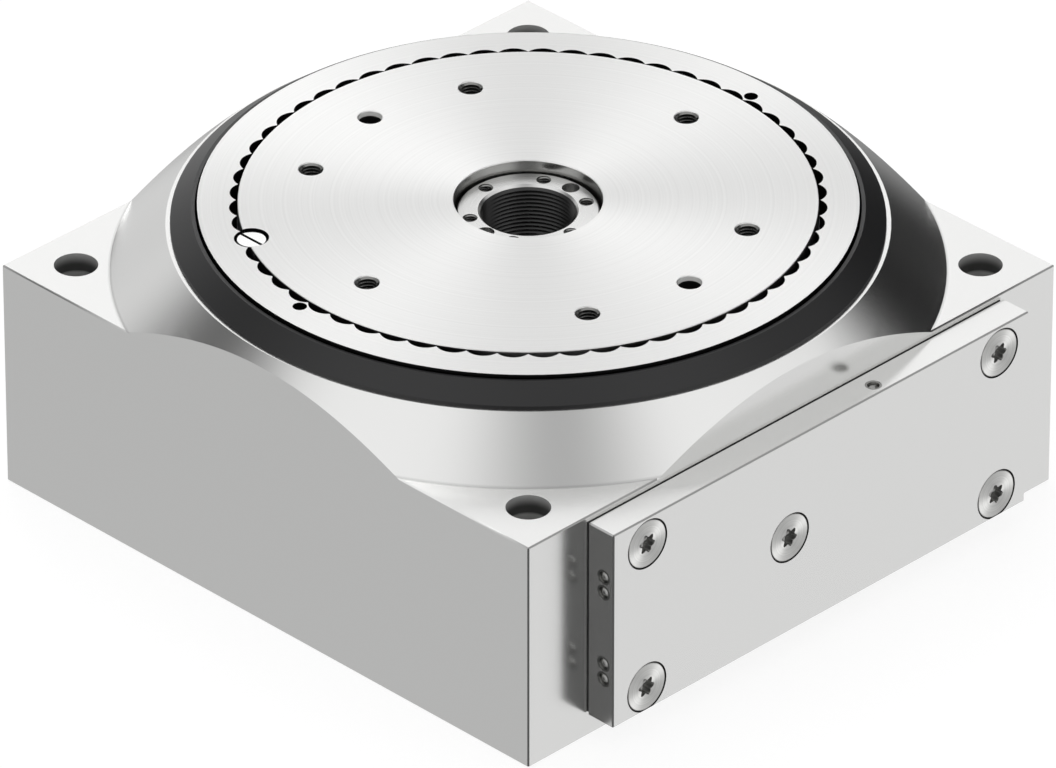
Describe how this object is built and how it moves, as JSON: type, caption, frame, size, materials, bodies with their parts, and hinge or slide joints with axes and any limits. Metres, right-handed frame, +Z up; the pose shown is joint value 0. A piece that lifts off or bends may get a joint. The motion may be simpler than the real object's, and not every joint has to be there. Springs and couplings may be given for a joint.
{
  "type": "rotary indexing table",
  "caption": "Flat pneumatic rotary indexing table: square housing with a coned top, continuously turning slotted-ring plate, fixed hollow hub and a screwed side cover.",
  "frame": {"origin": "centre of the hub's bore at the base of the housing", "axes": "+Z up along the table's axis, -Y towards the screwed side cover, +X along the cover"},
  "size_m": [0.248, 0.2601, 0.1104],
  "materials": {
    "cast_aluminium_satin": "fine milled and bead blasted, natural, satin",
    "turned_steel": "face turned, satin",
    "bright_steel": "ground, bright",
    "zinc_plated_screw": "zinc plated, satin",
    "black_plastic": "turned engineering plastic, satin black",
    "black_rubber": "moulded, matte",
    "soft_polyurethane": "cast polyurethane, satin",
    "bronze": "sintered bronze, oiled",
    "brass_sheet": "pressed sheet, bright",
    "machined_aluminium": "turned, plain",
    "hardened_steel": "hardened and ground, oiled"
  },
  "bodies": {
    "root": {"housing": "cast_aluminium_satin", "central_hub": "turned_steel", "hub_screws": "hardened_steel", "thrust_washers": "bronze", "retaining_ring": "hardened_steel", "end_plugs": "machined_aluminium", "end_plug_seals": "black_rubber", "end_bumpers": "soft_polyurethane", "lock_spring": "hardened_steel", "lock_cap": "zinc_plated_screw", "bearing_outer_ring": "hardened_steel", "clamp_ring": "machined_aluminium", "clamp_screws": "hardened_steel", "cover_ring": "black_plastic", "side_cover": "cast_aluminium_satin", "cover_gasket": "black_rubber", "cover_screws": "zinc_plated_screw", "channel_plugs": "bright_steel"},
    "table": {"turntable_carrier": "machined_aluminium", "plate_screws": "hardened_steel", "ring_screws": "hardened_steel", "rotary_plate": "turned_steel", "index_ring": "turned_steel", "key_screw": "bright_steel", "index_wheel": "hardened_steel", "wheel_screws": "hardened_steel", "hub_seal": "black_rubber", "bearing_inner_ring": "hardened_steel"},
    "rollers": {"bearing_rollers": "bright_steel", "roller_cage": "brass_sheet"},
    "pinion": {"drive_pinion": "hardened_steel", "pinion_bushes": "bronze", "drive_disc": "hardened_steel", "disc_screws": "hardened_steel", "pawl_keeper": "hardened_steel", "keeper_screws": "hardened_steel", "pawl_spring": "hardened_steel"},
    "drive_pawl": {"drive_pawl": "hardened_steel"},
    "rack_left": {"left_rack": "hardened_steel", "left_pistons": "machined_aluminium", "left_piston_seals": "black_rubber", "left_piston_screws": "hardened_steel"},
    "rack_right": {"right_rack": "hardened_steel", "right_pistons": "machined_aluminium", "right_piston_seals": "black_rubber", "right_piston_screws": "hardened_steel"},
    "lock_bolt": {"lock_bolt": "hardened_steel"}
  },
  "joints": [
    {"name": "table_spin", "type": "hinge", "parent": "root", "child": "table", "pos_m": [0, 0, 0.083], "axis": [0, 0, 1], "continuous": true},
    {"name": "roller_orbit", "type": "hinge", "parent": "root", "child": "rollers", "pos_m": [0, 0, 0.083], "axis": [0, 0, 1], "continuous": true},
    {"name": "pinion_swing", "type": "hinge", "parent": "root", "child": "pinion", "pos_m": [0, 0, 0.037], "axis": [0, 0, 1], "range_deg": [0, 60]},
    {"name": "rack_left_slide", "type": "slide", "parent": "root", "child": "rack_left", "axis": [0, 1, 0], "range_m": [-0.0419, 0]},
    {"name": "rack_right_slide", "type": "slide", "parent": "root", "child": "rack_right", "axis": [0, 1, 0], "range_m": [0, 0.0419]},
    {"name": "drive_pawl_slide", "type": "slide", "parent": "pinion", "child": "drive_pawl", "axis": [1, 0, 0], "range_m": [0, 0.0036], "deforming": ["pawl_spring"]},
    {"name": "lock_bolt_slide", "type": "slide", "parent": "root", "child": "lock_bolt", "axis": [0, -1, 0], "range_m": [0, 0.0036], "deforming": ["lock_spring"]}
  ],
  "couplings": [
    {"joint": "roller_orbit", "follows": "table_spin", "ratio": 0.5},
    {"joint": "rack_right_slide", "follows": "pinion_swing", "m_per_rad": 0.04},
    {"joint": "rack_left_slide", "follows": "pinion_swing", "m_per_rad": -0.04}
  ]
}
